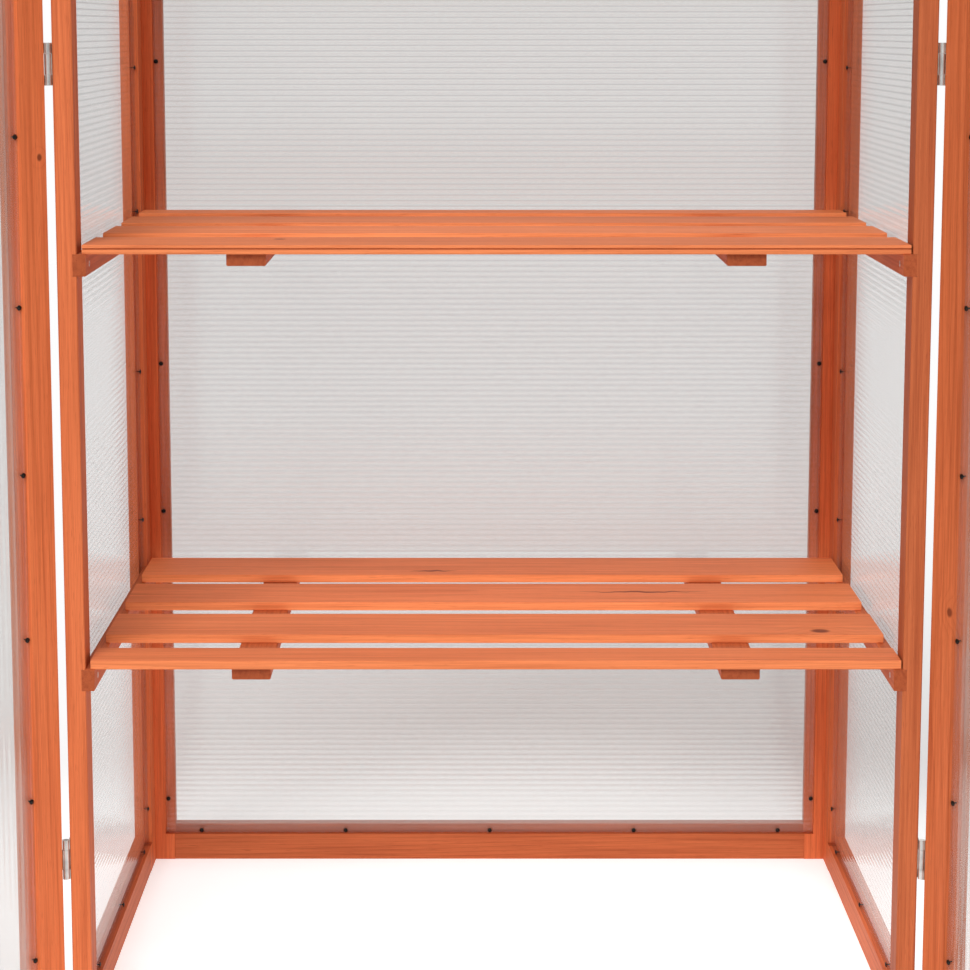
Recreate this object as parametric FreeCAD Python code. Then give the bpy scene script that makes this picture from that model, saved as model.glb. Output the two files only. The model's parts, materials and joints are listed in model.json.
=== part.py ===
import FreeCAD, Part
import math
import os

from FreeCAD import Matrix, Placement, Rotation, Vector

os.makedirs("parts", exist_ok=True)

# Overall size of the greenhouse with its doors shut and its lid down
overall_width = 750.0
overall_depth = 480.0
overall_height = 1090.0
roof_angle = 8.0
lid_overhang = 10.0

# Planed fir members of the side, back, door and lid frames
member_thickness = 17.0
frame_member_width = 38.0
edge_easing = 0.8
tenon_length = 20.0
tenon_thickness = 5.5
tenon_shoulder = 4.0
tenon_face_cover = 2.0
tenon_clearance = 0.1

# Twin-wall sheet, let into the inner face of each frame
exposed_width = 28.0
sheet_thickness = 4.0
sheet_recess = 3.5
sheet_edge_clearance = 0.5

# Pins along the edge of each sheet
pin_head_radius = 2.3
pin_head_height = 1.3
pin_head_sides = 6
pin_shank_width = 1.4
pin_bite = 5.5
pin_edge_distance = 3.0
pin_corner_distance = 35.0
pin_pitch = 150.0
pin_ledger_gap = 4.0

# Rails across the front of the cabinet, between the two sides
front_rail_height = 38.0
front_rail_setback = 3.0

# Doors
door_gap_behind = 0.3
door_gap_between = 3.0
door_ground_gap = 5.0
door_lid_gap = 3.0
left_door_open_angle = 130.0
right_door_open_angle = 120.0

# Butt hinges of pressed steel
hinge_height = 36.0
hinge_leaf_width = 13.0
hinge_leaf_thickness = 1.2
hinge_barrel_radius = 3.0
hinge_pin_radius = 1.5
hinge_axis_offset = 3.5
hinge_running_clearance = 0.05
hinge_knuckle_gap = 0.2
hinge_leaf_relief = 0.4
door_hinge_end_distance = 150.0
lid_hinge_end_distance = 130.0

# Ledgers on the side walls that carry the shelves
ledger_thickness = 11.5
ledger_height = 19.0
lower_ledger_top = 327.0
upper_ledger_top = 692.0
ledger_notch_clearance = 0.1

# Loose slatted shelves
slat_thickness = 8.0
wide_slat_width = 80.0
narrow_slat_width = 45.0
lower_slat_gap_shares = (0.36, 0.345, 0.295)
upper_slat_gap_shares = (0.355, 0.3, 0.345)
slat_end_gap = 3.0
shelf_front_gap = 1.0
lower_shelf_rear_gap = 21.5
upper_shelf_rear_gap = 31.0
shelf_sideways_shift = 1.5
slat_groove_height = 1.2
slat_groove_depth = 2.0
slat_groove_drop = 2.6
batten_width = 34.0
batten_thickness = 10.5
batten_spacing = 430.0
batten_end_gap = 6.0

# Lid seat and the steel prop that holds the lid open
lid_seat_gap = 0.3
lid_open_angle = 40.0
prop_width = 8.0
prop_thickness = 3.0
prop_side_gap = 0.4
prop_sheet_gap = 0.5
prop_pivot_distance = 300.0
prop_fork_width = 12.0
prop_fork_length = 16.0
prop_fork_clearance = 0.4
peg_distance = 330.0
peg_drop = 20.0
peg_radius = 2.5
peg_head_radius = 4.0
peg_head_thickness = 1.5
peg_head_gap = 1.0
peg_embedment = 12.0

# Pivot screws of the prop and of the turn button
screw_radius = 2.0
screw_head_radius = 4.0
screw_head_thickness = 1.6
screw_embedment = 12.0
screw_running_clearance = 0.05
screw_head_gap = 0.2

# Turn button that holds the shut doors together
button_length = 70.0
button_width = 18.0
button_thickness = 8.0
button_gap = 0.4
button_edge_distance = 14.0

# Sizes that follow from the ones above
half_width = overall_width / 2
roof_slope = math.tan(math.radians(roof_angle))
roof_cosine = math.cos(math.radians(roof_angle))
door_outer_depth = door_gap_behind + member_thickness
side_depth = overall_depth - lid_overhang - door_outer_depth - member_thickness
cabinet_depth = side_depth + member_thickness
rebate_depth = sheet_thickness + sheet_recess
inner_half_width = half_width - member_thickness
front_y = -front_rail_setback - member_thickness / 2
back_y = front_y + cabinet_depth
lid_rear_rise = cabinet_depth * roof_slope + lid_seat_gap / roof_cosine + member_thickness * roof_cosine
front_height = overall_height - lid_rear_rise
slat_length = 2 * (inner_half_width - slat_end_gap)
knuckle_heights = (0.0, hinge_height / 4, hinge_height * 3 / 4, hinge_height)

# Turning axes of the doors and of the lid
door_axis_x = half_width + hinge_axis_offset
door_axis_y = front_y - door_gap_behind / 2
lid_axis_y = back_y + hinge_axis_offset
lid_axis_z = front_height + (lid_axis_y - front_y) * roof_slope + lid_seat_gap / 2 / roof_cosine


def roof_height(y):
    """Height of the plane that the lid rests on, at a distance along Y."""
    return front_height + (y - front_y) * roof_slope


def box(x_range, y_range, z_range):
    """Block between two limits on each axis."""
    low = Vector(x_range[0], y_range[0], z_range[0])
    return Part.makeBox(x_range[1] - x_range[0], y_range[1] - y_range[0], z_range[1] - z_range[0], low)


def prism(points, z_low, z_high):
    """Straight extrusion along Z of an outline given as X, Y points."""
    corners = [Vector(x, y, z_low) for x, y in points]
    wire = Part.makePolygon(corners + corners[:1])
    return Part.Face(wire).extrude(Vector(0, 0, z_high - z_low))


def axes_placement(origin, x_axis, y_axis):
    """Placement that carries the local X and Y axes onto two given directions."""
    z_axis = x_axis.cross(y_axis)
    matrix = Matrix(
        x_axis.x, y_axis.x, z_axis.x, origin.x,
        x_axis.y, y_axis.y, z_axis.y, origin.y,
        x_axis.z, y_axis.z, z_axis.z, origin.z,
        0, 0, 0, 1,
    )
    return Placement(matrix)


def placed(shape, placement):
    """Copy of a shape, carried by a placement."""
    result = shape.copy()
    result.Placement = placement.multiply(result.Placement)
    return result


def mirrored(shape):
    """Copy of a shape on the other side of the cabinet's middle plane."""
    return shape.mirror(Vector(0, 0, 0), Vector(1, 0, 0))


def save(name, shape):
    """Write one piece, or one group of like pieces."""
    shape.exportStep("parts/" + name + ".step")


def eased(shape, direction):
    """Take the sharp arrises off the edges that run along the grain."""
    edges = []
    for edge in shape.Edges:
        along = edge.Vertexes[1].Point.sub(edge.Vertexes[0].Point).normalize()
        if abs(along.dot(direction)) > 0.95:
            edges.append(edge)
    return shape.makeChamfer(edge_easing, edges)


class Panel:
    """Mortised frame with a sheet let into one face.

    Local X runs across the frame, Y up it and Z through it, from the plain
    face at 0 to the rebated face at the member's thickness. The top edge may
    rise along X.
    """

    def __init__(self, width, height, slope=0.0):
        self.width = width
        self.height = height
        self.slope = slope
        self.cosine = math.cos(math.atan(slope))

    def top(self, x):
        """Height of the top edge."""
        return self.height + x * self.slope

    def outline(self, inset):
        """Corners of the frame's outline, moved inwards by an inset."""
        low = inset
        right = self.width - inset
        drop = inset / self.cosine
        return [(inset, low), (right, low), (right, self.top(right) - drop), (inset, self.top(inset) - drop)]

    def pocket(self):
        """Rebate that the sheet lies in, as a cutter."""
        return prism(self.outline(exposed_width), member_thickness - rebate_depth, member_thickness + 1)

    def tenon(self, x_low, x_high, at_top, clearance):
        """Tenon of a rail, or with a clearance the mortise for it."""
        reach = frame_member_width / 2 - tenon_shoulder + clearance
        middle = frame_member_width / 2
        if at_top:
            shoulder_x = frame_member_width if x_high < self.width / 2 else self.width - frame_member_width
            shoulder_x = max(frame_member_width, min(self.width - frame_member_width, shoulder_x))
            middle = self.top(shoulder_x) - frame_member_width / 2 / self.cosine
        z_low = tenon_face_cover - clearance
        z_high = tenon_face_cover + tenon_thickness + clearance
        return box((x_low, x_high), (middle - reach, middle + reach), (z_low, z_high))

    def tenon_ranges(self, clearance):
        """Where the tenons lie across the frame, at its two stiles."""
        left = (frame_member_width - tenon_length - clearance, frame_member_width)
        right = (self.width - frame_member_width, self.width - frame_member_width + tenon_length + clearance)
        return left, right

    def stile(self, at_right):
        """Upright member, with a mortise for each rail."""
        x_low = self.width - frame_member_width if at_right else 0.0
        x_high = x_low + frame_member_width
        points = [(x_low, 0), (x_high, 0), (x_high, self.top(x_high)), (x_low, self.top(x_low))]
        body = eased(prism(points, 0, member_thickness), Vector(0, 1, 0))
        reach = self.tenon_ranges(tenon_clearance)[1 if at_right else 0]
        for at_top in (False, True):
            body = body.cut(self.tenon(reach[0], reach[1], at_top, tenon_clearance))
        return body.cut(self.pocket())

    def rail(self, at_top):
        """Cross member between the stiles, with a tenon at each end."""
        x_low = frame_member_width
        x_high = self.width - frame_member_width
        points = [(x_low, 0), (x_high, 0), (x_high, frame_member_width), (x_low, frame_member_width)]
        if at_top:
            drop = frame_member_width / self.cosine
            points = [
                (x_low, self.top(x_low) - drop),
                (x_high, self.top(x_high) - drop),
                (x_high, self.top(x_high)),
                (x_low, self.top(x_low)),
            ]
        body = eased(prism(points, 0, member_thickness), Vector(1, 0, 0))
        left, right = self.tenon_ranges(0.0)
        for reach in (left, right):
            body = body.fuse(self.tenon(reach[0], reach[1], at_top, 0.0))
        return body.cut(self.pocket()).removeSplitter()

    def sheet(self):
        """Twin-wall sheet, a little smaller than its rebate."""
        floor = member_thickness - rebate_depth
        return prism(self.outline(exposed_width + sheet_edge_clearance), floor, floor + sheet_thickness)

    def pin_places(self, kept_clear):
        """Places of the pins along the sheet's four edges, moved up past any height kept clear."""
        corners = self.outline(exposed_width + pin_edge_distance)
        places = []
        for start, end in zip(corners, corners[1:] + corners[:1]):
            run = math.dist(start, end)
            steps = max(1, round((run - 2 * pin_corner_distance) / pin_pitch))
            for step in range(steps + 1):
                along = pin_corner_distance + step * (run - 2 * pin_corner_distance) / steps
                share = along / run
                x = start[0] + (end[0] - start[0]) * share
                y = start[1] + (end[1] - start[1]) * share
                for low, high in kept_clear:
                    if low < y < high:
                        y = high
                places.append((x, y))
        return places

    def pins(self, kept_clear=()):
        """Pins driven through the sheet into the rebate's floor."""
        seat = member_thickness - sheet_recess
        return [sheet_pin(x, y, seat) for x, y in self.pin_places(kept_clear)]


def sheet_pin(x, y, seat):
    """Pin with a small flat head that bears on the sheet, and a square shank drawn to a point."""
    steps = [2 * math.pi * (side + 0.5) / pin_head_sides for side in range(pin_head_sides)]
    rim = [(x + pin_head_radius * math.cos(a), y + pin_head_radius * math.sin(a)) for a in steps]
    head = prism(rim, seat, seat + pin_head_height)
    half = pin_shank_width / 2
    corners = [(x - half, y - half), (x + half, y - half), (x + half, y + half), (x - half, y + half)]
    base = [Vector(a, b, seat) for a, b in corners]
    point = Vector(x, y, seat - sheet_thickness - pin_bite)
    sides = [Part.makePolygon([a, b, point, a]) for a, b in zip(base, base[1:] + base[:1])]
    faces = [Part.Face(wire) for wire in sides + [Part.makePolygon(base + base[:1])]]
    shank = Part.Solid(Part.Shell(faces))
    return head.fuse(shank)


# The four frames, each in its own local axes
side_panel = Panel(side_depth, front_height, roof_slope)
back_panel = Panel(overall_width, roof_height(back_y))
door_top = roof_height(front_y - door_outer_depth) - door_lid_gap
door_width = half_width - door_gap_between / 2
door_panel = Panel(door_width, door_top - door_ground_gap)
lid_front_lean = member_thickness * math.sin(math.radians(roof_angle))
lid_length = (overall_depth - lid_front_lean + hinge_axis_offset) / roof_cosine - hinge_axis_offset
lid_panel = Panel(overall_width, lid_length)

left_side_place = axes_placement(Vector(-half_width, front_y, 0), Vector(0, 1, 0), Vector(0, 0, 1))
back_place = axes_placement(Vector(-half_width, back_y, 0), Vector(1, 0, 0), Vector(0, 0, 1))
left_door_corner = Vector(-door_gap_between / 2, front_y - door_outer_depth, door_ground_gap)
left_door_shut_place = axes_placement(left_door_corner, Vector(-1, 0, 0), Vector(0, 0, 1))
lid_up_axis = Vector(0, roof_cosine, math.sin(math.radians(roof_angle)))
lid_through_axis = Vector(1, 0, 0).cross(lid_up_axis)
lid_axis_point = Vector(0, lid_axis_y, lid_axis_z)


def lid_point(x, distance, rise):
    """Point of the shut lid, by its distance from the hinge axis and its height over it."""
    return lid_axis_point + Vector(x, 0, 0) - lid_up_axis * distance + lid_through_axis * rise


lid_corner = lid_point(-half_width, hinge_axis_offset + lid_length, lid_seat_gap / 2)
lid_place = axes_placement(lid_corner, Vector(1, 0, 0), lid_up_axis)

# The doors stand open: each is made shut and turned about its hinge axis
left_door_axis = Vector(-door_axis_x, door_axis_y, 0)
right_door_axis = Vector(door_axis_x, door_axis_y, 0)
left_door_turn = Placement(Vector(0, 0, 0), Rotation(Vector(0, 0, 1), -left_door_open_angle), left_door_axis)
right_door_turn = Placement(Vector(0, 0, 0), Rotation(Vector(0, 0, 1), right_door_open_angle), right_door_axis)


def under_roof(shape):
    """Bevel the top of an upright piece to the plane under the lid."""
    margin = overall_depth
    low_y = front_y - margin
    high_y = back_y + margin
    top = overall_height + margin
    points = [(low_y, roof_height(low_y)), (high_y, roof_height(high_y)), (high_y, top), (low_y, top)]
    cutter = prism(points, 0, overall_width + 2 * margin)
    corner = Vector(-half_width - margin, 0, 0)
    return shape.cut(placed(cutter, axes_placement(corner, Vector(0, 1, 0), Vector(0, 0, 1))))


# Pegs and pivot screws
def rod(start, direction, length, radius):
    """Round rod from a point, along a direction."""
    return Part.makeCylinder(radius, length, start, direction)


prop_rise = lid_seat_gap / 2 + member_thickness - rebate_depth - prop_sheet_gap - prop_width / 2
prop_outer_x = half_width - frame_member_width - prop_side_gap
prop_pivot = lid_point(half_width - frame_member_width, prop_pivot_distance, prop_rise)
peg_centre = lid_point(inner_half_width, peg_distance, -lid_seat_gap / 2 - peg_drop)


def prop_hole_in_rail():
    """Hole for the prop's pivot screw, in the lid's right member."""
    return rod(prop_pivot, Vector(1, 0, 0), screw_embedment, screw_radius)


def make_prop_screw():
    """Screw that the prop turns on, with its head on the inside."""
    inner_x = prop_outer_x - prop_thickness - screw_head_gap
    length = prop_pivot.x - inner_x + screw_embedment
    shank_start = Vector(inner_x, prop_pivot.y, prop_pivot.z)
    shank = rod(shank_start, Vector(1, 0, 0), length, screw_radius)
    head = rod(shank_start, Vector(-1, 0, 0), screw_head_thickness, screw_head_radius)
    return shank.fuse(head)


def peg_hole():
    """Hole for the peg, in the right side's top rail."""
    return rod(peg_centre, Vector(1, 0, 0), peg_embedment, peg_radius)


def make_peg():
    """Headed steel peg that the prop's fork sits on."""
    tip_x = prop_outer_x - prop_thickness - peg_head_gap
    shank_start = Vector(tip_x, peg_centre.y, peg_centre.z)
    shank = rod(shank_start, Vector(1, 0, 0), peg_centre.x - tip_x + peg_embedment, peg_radius)
    head = rod(shank_start, Vector(-1, 0, 0), peg_head_thickness, peg_head_radius)
    return shank.fuse(head)


def opened_prop_vector():
    """From the prop's pivot to the peg, in the lid's own axes, with the lid held open."""
    angle = math.radians(lid_open_angle)
    pivot_u = prop_pivot_distance * math.cos(angle) - prop_rise * math.sin(angle)
    pivot_w = prop_pivot_distance * math.sin(angle) + prop_rise * math.cos(angle)
    step_u = peg_distance - pivot_u
    step_w = -lid_seat_gap / 2 - peg_drop - pivot_w
    along = step_u * math.cos(angle) + step_w * math.sin(angle)
    across = -step_u * math.sin(angle) + step_w * math.cos(angle)
    return along, across


prop_along, prop_across = opened_prop_vector()
prop_reach = math.hypot(prop_along, prop_across)
fork_offset = prop_fork_width / 2 - prop_width / 2
fork_reach = math.sqrt(prop_reach ** 2 - fork_offset ** 2)
prop_swing = math.degrees(math.atan2(-prop_across, -prop_along)) - math.degrees(math.asin(fork_offset / prop_reach))


def make_prop():
    """Flat steel prop: a rounded eye at the pivot and an open fork at the other end.

    It is drawn with the pivot at the origin and the fork along +X, then laid
    along the lid with the fork towards the hinges.
    """
    half = prop_width / 2
    strip = box((0, fork_reach), (-half, half), (0, prop_thickness))
    eye = Part.makeCylinder(half, prop_thickness)
    fork_low = -fork_offset - prop_fork_width / 2
    fork_start = fork_reach - prop_fork_length / 2
    fork = box((fork_start, fork_start + prop_fork_length), (fork_low, half), (0, prop_thickness))
    slot_radius = peg_radius + prop_fork_clearance
    seat = Vector(fork_reach, -fork_offset, -1)
    slot = Part.makeCylinder(slot_radius, prop_thickness + 2, seat)
    mouth_y = (-fork_offset - slot_radius, -fork_offset + slot_radius)
    mouth = box((fork_reach, fork_reach + prop_fork_length), mouth_y, (-1, prop_thickness + 1))
    hole_radius = screw_radius + screw_running_clearance
    hole = Part.makeCylinder(hole_radius, prop_thickness + 2, Vector(0, 0, -1))
    blank = strip.fuse([eye, fork]).removeSplitter()
    body = blank.cut(slot.fuse(mouth)).cut(hole)
    corner = Vector(prop_outer_x - prop_thickness, prop_pivot.y, prop_pivot.z)
    return placed(body, axes_placement(corner, lid_up_axis, lid_through_axis))


# Hinges, drawn with the barrel along Z and the wood beyond X = the axis offset
def knuckles(indices):
    """Knuckles of one leaf, at the given stations of the barrel."""
    bore = hinge_pin_radius + hinge_running_clearance
    rings = []
    for index in indices:
        low = knuckle_heights[index] + hinge_knuckle_gap / 2
        high = knuckle_heights[index + 1] - hinge_knuckle_gap / 2
        outer = Part.makeCylinder(hinge_barrel_radius, high - low, Vector(0, 0, low))
        inner = Part.makeCylinder(bore, high - low + 2, Vector(0, 0, low - 1))
        rings.append((outer, inner))
    return rings


def hinge_leaf(side, own):
    """One leaf with its knuckles, on the +Y or the -Y side of the barrel."""
    x_range = (hinge_axis_offset - hinge_leaf_thickness, hinge_axis_offset)
    far = side * hinge_leaf_width
    y_range = (min(0.0, far), max(0.0, far))
    leaf = box(x_range, y_range, (0, hinge_height))
    reach = hinge_barrel_radius + hinge_leaf_relief
    for index in range(3):
        if index not in own:
            low = knuckle_heights[index] - (hinge_knuckle_gap / 2 if index else 1)
            high = knuckle_heights[index + 1] + (hinge_knuckle_gap / 2 if index < 2 else 1)
            leaf = leaf.cut(box((-reach, hinge_axis_offset + 1), (-reach, reach), (low, high)))
    for outer, inner in knuckles(own):
        leaf = leaf.fuse(outer).cut(inner)
    return leaf.removeSplitter()


def hinge_pin():
    """Plain pin through the barrel, flush with its ends."""
    return Part.makeCylinder(hinge_pin_radius, hinge_height)


end_knuckles = (0, 2)
middle_knuckle = (1,)
door_hinge_heights = (
    door_ground_gap + door_hinge_end_distance - hinge_height / 2,
    door_top - door_hinge_end_distance - hinge_height / 2,
)


def left_door_hinge_places():
    """Placements of the left door's two hinges, the lower one first."""
    return [Placement(Vector(-door_axis_x, door_axis_y, z), Rotation()) for z in door_hinge_heights]


def lid_hinge_places():
    """Placements of the lid's two hinges, on the back of the cabinet."""
    places = []
    for x in (-half_width + lid_hinge_end_distance, half_width - lid_hinge_end_distance):
        corner = Vector(x - hinge_height / 2, lid_axis_y, lid_axis_z)
        places.append(axes_placement(corner, Vector(0, -1, 0), Vector(0, 0, -1)))
    return places


def left_door_hinges():
    """Leaves of the left door's hinges: on the frame, on the shut door, and the pins.

    The lower hinge was screwed on the other way up, with its two end
    knuckles on the frame.
    """
    frame_leaves = []
    door_leaves = []
    pins = []
    for place, frame_own in zip(left_door_hinge_places(), (end_knuckles, middle_knuckle)):
        door_own = middle_knuckle if frame_own == end_knuckles else end_knuckles
        frame_leaves.append(placed(hinge_leaf(1, frame_own), place))
        door_leaves.append(placed(hinge_leaf(-1, door_own), place))
        pins.append(placed(hinge_pin(), place))
    return frame_leaves, door_leaves, pins


def right_door_hinges():
    """Leaves and pins of the right door's hinges, both the same way up."""
    frame_leaves = []
    door_leaves = []
    pins = []
    for place in left_door_hinge_places():
        frame_leaves.append(mirrored(placed(hinge_leaf(1, middle_knuckle), place)))
        door_leaves.append(mirrored(placed(hinge_leaf(-1, end_knuckles), place)))
        pins.append(mirrored(placed(hinge_pin(), place)))
    return frame_leaves, door_leaves, pins


def lid_hinges():
    """Leaves and pins of the lid's hinges, the lid's leaves following its slope."""
    tilt = Placement(Vector(0, 0, 0), Rotation(Vector(1, 0, 0), roof_angle), lid_axis_point)
    frame_leaves = []
    lid_leaves = []
    pins = []
    for place in lid_hinge_places():
        frame_leaves.append(placed(hinge_leaf(1, middle_knuckle), place))
        lid_leaves.append(placed(placed(hinge_leaf(-1, end_knuckles), place), tilt))
        pins.append(placed(hinge_pin(), place))
    return frame_leaves, lid_leaves, pins


def make_turn_button():
    """Wooden turn button with rounded ends, upright on the shut left door."""
    half = button_width / 2
    straight = button_length / 2 - half
    body = box((-half, half), (-straight, straight), (0, button_thickness))
    ends = [Part.makeCylinder(half, button_thickness, Vector(0, y, 0)) for y in (-straight, straight)]
    hole_radius = screw_radius + screw_running_clearance
    hole = Part.makeCylinder(hole_radius, button_thickness + 2, Vector(0, 0, -1))
    return body.fuse(ends).removeSplitter().cut(hole)


button_centre = Vector(
    -door_gap_between / 2 - button_edge_distance,
    front_y - door_outer_depth,
    (door_ground_gap + door_top) / 2,
)


def place_turn_button():
    """Turn button in front of the shut left door's meeting stile."""
    corner = button_centre - Vector(0, button_gap, 0)
    return placed(make_turn_button(), axes_placement(corner, Vector(1, 0, 0), Vector(0, 0, 1)))


def button_hole_in_stile():
    """Hole for the button's screw, in the left door's meeting stile."""
    return rod(button_centre, Vector(0, 1, 0), screw_embedment, screw_radius)


def make_button_screw():
    """Screw that the turn button turns on."""
    proud = button_gap + button_thickness + screw_head_gap
    start = button_centre - Vector(0, proud, 0)
    shank = rod(start, Vector(0, 1, 0), proud + screw_embedment, screw_radius)
    head = rod(start, Vector(0, -1, 0), screw_head_thickness, screw_head_radius)
    return shank.fuse(head)


# Shelves and the ledgers under them
def slat_places(shelf_depth, gap_shares):
    """Start and width of each slat, the open depth between them shared out as the hand-nailed shelf has it."""
    open_depth = shelf_depth - narrow_slat_width - len(gap_shares) * wide_slat_width
    places = [(0.0, narrow_slat_width)]
    for share in gap_shares:
        start = sum(places[-1]) + open_depth * share
        places.append((start, wide_slat_width))
    return places


def slat(start, width):
    """One slat across the shelf, its long arrises eased."""
    half = slat_length / 2
    return eased(box((-half, half), (start, start + width), (0, slat_thickness)), Vector(1, 0, 0))


def grooved(board, edge):
    """Saw groove along the outer edge of a shelf's last slat."""
    half = slat_length / 2 + 1
    top = slat_thickness - slat_groove_drop
    cutter = box((-half, half), (edge - slat_groove_depth, edge + 1), (top - slat_groove_height, top))
    return board.cut(cutter)


def batten(sign, shelf_depth):
    """Cross batten that the slats are nailed to, under them."""
    middle = sign * batten_spacing / 2
    x_range = (middle - batten_width / 2, middle + batten_width / 2)
    body = box(x_range, (batten_end_gap, shelf_depth - batten_end_gap), (-batten_thickness, 0))
    return eased(body, Vector(0, 1, 0))


def shelf_place(ledger_top, shelf_depth, turned):
    """Placement of a shelf, with its narrow slat in front or turned to the back."""
    front = front_y + shelf_front_gap
    if turned:
        corner = Vector(shelf_sideways_shift, front + shelf_depth, ledger_top)
        return axes_placement(corner, Vector(-1, 0, 0), Vector(0, -1, 0))
    return axes_placement(Vector(shelf_sideways_shift, front, ledger_top), Vector(1, 0, 0), Vector(0, 1, 0))


def save_shelf(name, ledger_top, rear_gap, gap_shares, turned):
    """Slats and battens of one shelf, numbered from the front."""
    shelf_depth = side_depth - shelf_front_gap - rear_gap
    places = slat_places(shelf_depth, gap_shares)
    place = shelf_place(ledger_top, shelf_depth, turned)
    slats = [slat(start, width) for start, width in places]
    slats[-1] = grooved(slats[-1], shelf_depth)
    if turned:
        slats.reverse()
    for number, piece in enumerate(slats, 1):
        save(name + "_slat_" + str(number), placed(piece, place))
    battens = [placed(batten(sign, shelf_depth), place) for sign in (-1, 1)]
    save(name + "_battens", Part.makeCompound(battens))


def ledger(top, clearance=0.0):
    """Ledger on the left wall, or with a clearance the notch for it in the stiles."""
    x_low = -inner_half_width - sheet_recess
    y_range = (front_y - clearance, front_y + side_depth + clearance)
    z_range = (top - ledger_height - clearance, top + clearance)
    return box((x_low, x_low + ledger_thickness), y_range, z_range)


def front_rail(z_low):
    """Rail across the front, between the side frames."""
    y_low = front_y + front_rail_setback
    z_range = (z_low, z_low + front_rail_height)
    rail = box((-inner_half_width, inner_half_width), (y_low, y_low + member_thickness), z_range)
    return eased(rail, Vector(1, 0, 0))


def save_sides():
    """The two side frames with their sheets."""
    pieces = {
        "front_stile": side_panel.stile(False),
        "rear_stile": side_panel.stile(True),
        "top_rail": side_panel.rail(True),
        "bottom_rail": side_panel.rail(False),
        "sheet": side_panel.sheet(),
    }
    for name, piece in pieces.items():
        left_piece = placed(piece, left_side_place)
        if name.endswith("stile"):
            for top in (lower_ledger_top, upper_ledger_top):
                left_piece = left_piece.cut(ledger(top, ledger_notch_clearance))
        right_piece = mirrored(left_piece)
        if name == "top_rail":
            right_piece = right_piece.cut(peg_hole())
        save("left_" + name, left_piece)
        save("right_" + name, right_piece)


def save_back():
    """The back frame, its top bevelled under the lid."""
    pieces = {
        "back_left_stile": back_panel.stile(False),
        "back_right_stile": back_panel.stile(True),
        "back_top_rail": back_panel.rail(True),
        "back_bottom_rail": back_panel.rail(False),
        "back_sheet": back_panel.sheet(),
    }
    for name, piece in pieces.items():
        save(name, under_roof(placed(piece, back_place)))


def save_cabinet_trim():
    """Front rails, ledgers, sheet pins and the peg."""
    save("front_bottom_rail", front_rail(0.0))
    save("front_top_rail", front_rail(front_height - front_rail_height))
    for name, top in (("upper", upper_ledger_top), ("lower", lower_ledger_top)):
        left_ledger = eased(ledger(top), Vector(0, 1, 0))
        save("left_" + name + "_ledger", left_ledger)
        save("right_" + name + "_ledger", mirrored(left_ledger))
    reach = pin_head_radius + pin_ledger_gap
    ledger_tops = (lower_ledger_top, upper_ledger_top)
    kept_clear = [(top - ledger_height - reach, top + reach) for top in ledger_tops]
    left_pins = [placed(pin, left_side_place) for pin in side_panel.pins(kept_clear)]
    right_pins = [mirrored(pin) for pin in left_pins]
    back_pins = [placed(pin, back_place) for pin in back_panel.pins()]
    save("cabinet_sheet_pins", Part.makeCompound(left_pins + right_pins + back_pins))
    save("prop_peg", make_peg())


def save_door(name, to_rest, with_button):
    """One door, carried from shut to where it stands open."""
    pieces = {
        "meeting_stile": door_panel.stile(False),
        "hinge_stile": door_panel.stile(True),
        "top_rail": door_panel.rail(True),
        "bottom_rail": door_panel.rail(False),
        "sheet": door_panel.sheet(),
        "sheet_pins": Part.makeCompound(door_panel.pins()),
    }
    for part_name, piece in pieces.items():
        shut = placed(piece, left_door_shut_place)
        if with_button and part_name == "meeting_stile":
            shut = shut.cut(button_hole_in_stile())
        save(name + "_" + part_name, to_rest(shut))


def left_to_rest(shape):
    """Carry a piece of the shut left door to where it stands open."""
    return placed(shape, left_door_turn)


def right_to_rest(shape):
    """Mirror a piece of the shut left door and open it on the right."""
    return placed(mirrored(shape), right_door_turn)


def save_lid():
    """The lid, its hinge leaves apart, and its prop."""
    pieces = {
        "lid_left_rail": lid_panel.stile(False),
        "lid_right_rail": lid_panel.stile(True),
        "lid_rear_rail": lid_panel.rail(True),
        "lid_front_rail": lid_panel.rail(False),
        "lid_sheet": lid_panel.sheet(),
        "lid_sheet_pins": Part.makeCompound(lid_panel.pins()),
    }
    for name, piece in pieces.items():
        laid = placed(piece, lid_place)
        if name == "lid_right_rail":
            laid = laid.cut(prop_hole_in_rail())
        save(name, laid)
    save("prop_screw", make_prop_screw())
    save("lid_prop", make_prop())


def save_hinges():
    """All six hinges, their leaves grouped by what they are screwed to."""
    left_frame, left_leaves, left_pins = left_door_hinges()
    right_frame, right_leaves, right_pins = right_door_hinges()
    lid_frame, lid_leaves, lid_pins = lid_hinges()
    save("hinge_frame_leaves", Part.makeCompound(left_frame + right_frame + lid_frame))
    save("hinge_pins", Part.makeCompound(left_pins + right_pins + lid_pins))
    save("left_door_hinge_leaves", Part.makeCompound([left_to_rest(leaf) for leaf in left_leaves]))
    opened = [placed(leaf, right_door_turn) for leaf in right_leaves]
    save("right_door_hinge_leaves", Part.makeCompound(opened))
    save("lid_hinge_leaves", Part.makeCompound(lid_leaves))


save_sides()
save_back()
save_cabinet_trim()
save_door("left_door", left_to_rest, True)
save_door("right_door", right_to_rest, False)
save("turn_button", left_to_rest(place_turn_button()))
save("turn_button_screw", left_to_rest(make_button_screw()))
save_lid()
save_hinges()
save_shelf("lower_shelf", lower_ledger_top, lower_shelf_rear_gap, lower_slat_gap_shares, False)
save_shelf("upper_shelf", upper_ledger_top, upper_shelf_rear_gap, upper_slat_gap_shares, True)
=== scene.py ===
import json
import logging
import math
import zlib
from dataclasses import dataclass, field
from enum import Enum
from typing import Sequence

import bpy
import numpy as np
from mathutils import Matrix, Vector


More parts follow.
